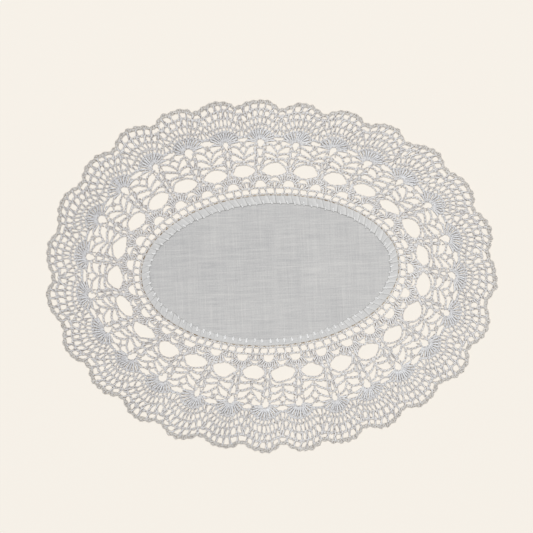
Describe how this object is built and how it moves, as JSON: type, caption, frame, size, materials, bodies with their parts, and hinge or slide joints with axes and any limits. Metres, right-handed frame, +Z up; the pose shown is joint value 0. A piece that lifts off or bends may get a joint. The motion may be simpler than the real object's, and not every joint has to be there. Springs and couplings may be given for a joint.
{
  "type": "lace doily",
  "caption": "Oval doily lying flat: a hemmed linen centre inside a crocheted border of openwork and scalloped fans, laid under things to protect and dress a table.",
  "frame": {"origin": "middle of the doily's length and width, on the surface it lies on", "axes": "+X along the length, +Y along the width, +Z up out of the cloth"},
  "size_m": [0.2806, 0.219, 0.0015],
  "materials": {
    "linen": "plain-woven, soft and matt",
    "crochet_cotton": "twisted mercerised cotton thread, softly matt"
  },
  "bodies": {
    "root": {"linen_centre": "linen", "lace_border": "crochet_cotton"}
  },
  "joints": []
}
